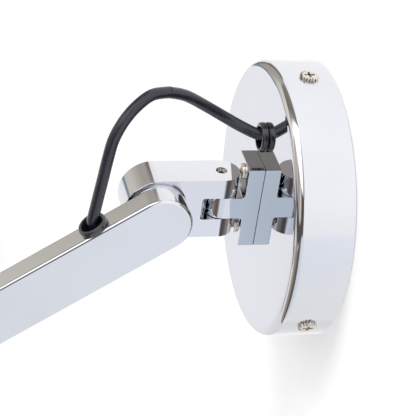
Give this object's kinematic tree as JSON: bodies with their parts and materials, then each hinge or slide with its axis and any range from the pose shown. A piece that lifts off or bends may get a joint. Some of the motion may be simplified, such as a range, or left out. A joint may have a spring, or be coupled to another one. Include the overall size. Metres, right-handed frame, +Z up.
{
  "type": "accordion wall lamp",
  "caption": "Mirror-chromed wall lamp: round canopy with a cord grommet, forked swivel block, two flat folding arms, tilting head with a bell shade, bulb and push switch.",
  "frame": {"origin": "middle of the canopy on the wall plane, midway between the two wall screws", "axes": "+Z up along the wall, -Y straight out from the wall, +X to the side of the swivel block that the arms are bolted to"},
  "size_m": [0.1326, 0.4923, 0.2578],
  "materials": {
    "polished_metal": "mirror polished chromium plating",
    "warm_metal": "polished plating with a warm tint",
    "zinc_plate": "plain zinc plated sheet",
    "bolt_steel": "machined bright steel",
    "dark_steel": "blackened steel",
    "brass_parts": "turned brass",
    "white_plastic": "matt moulded plastic",
    "black_plastic": "matt moulded plastic",
    "white_ceramic": "glazed porcelain",
    "black_rubber": "soft rubber with a satin shine",
    "cord_sheath": "smooth flexible sheath",
    "bulb_glass": "white frosted glass"
  },
  "bodies": {
    "wall_base": {"canopy_cover": "polished_metal", "wall_plate": "zinc_plate", "canopy_screws": "warm_metal", "backing_plate": "zinc_plate", "terminal_block": "white_plastic", "earth_screw": "brass_parts", "canopy_grommet": "black_rubber", "swivel_bracket": "polished_metal", "bracket_screws": "warm_metal", "cord_wall_side": "cord_sheath"},
    "swivel": {"swivel_block": "polished_metal", "swivel_pin": "bolt_steel", "pin_grub_screw": "dark_steel", "tilt_spacer": "black_plastic"},
    "inner_arm": {"arm_1_body": "polished_metal", "arm_1_cover": "polished_metal", "arm_1_screws": "bolt_steel", "arm_1_grommet": "black_rubber", "arm_1_clamp": "white_plastic", "tilt_bolt": "bolt_steel", "tilt_washer": "bolt_steel", "elbow_washer": "bolt_steel", "elbow_spacer": "black_plastic", "cord_arm_side": "cord_sheath"},
    "outer_arm": {"arm_2_body": "polished_metal", "arm_2_cover": "polished_metal", "arm_2_screws": "bolt_steel", "elbow_bolt": "bolt_steel", "head_bolt": "bolt_steel", "head_washer": "bolt_steel", "head_spacer": "black_plastic"},
    "head": {"head_knuckle": "polished_metal", "neck_sleeve": "polished_metal", "head_tube": "brass_parts", "tube_nut": "brass_parts", "lampholder": "white_ceramic", "holder_contact": "brass_parts", "shade": "polished_metal", "bulb_glass": "bulb_glass", "bulb_cap": "bolt_steel", "switch_body": "black_plastic"},
    "button": {"switch_button": "black_plastic"}
  },
  "joints": [
    {"name": "base_swivel", "type": "hinge", "parent": "wall_base", "child": "swivel", "pos_m": [0, -0.042, 0], "axis": [0, 0, 1], "range_deg": [-80, 70], "deforming": ["cord_wall_side"]},
    {"name": "arm_tilt", "type": "hinge", "parent": "swivel", "child": "inner_arm", "pos_m": [0, -0.07, 0], "axis": [-1, 0, 0], "range_deg": [-40, 75], "deforming": ["cord_arm_side"]},
    {"name": "elbow", "type": "hinge", "parent": "inner_arm", "child": "outer_arm", "pos_m": [0.0212, -0.25109, -0.12492], "axis": [-1, 0, 0], "range_deg": [-55, 60]},
    {"name": "head_tilt", "type": "hinge", "parent": "outer_arm", "child": "head", "pos_m": [0.0126, -0.43235, -0.0404], "axis": [-1, 0, 0], "range_deg": [-18, 90]},
    {"name": "switch_press", "type": "slide", "parent": "head", "child": "button", "axis": [0, 0, -1], "range_m": [0, 0.002], "stiffness_N_per_m": 150, "springref_m": -0.002}
  ]
}
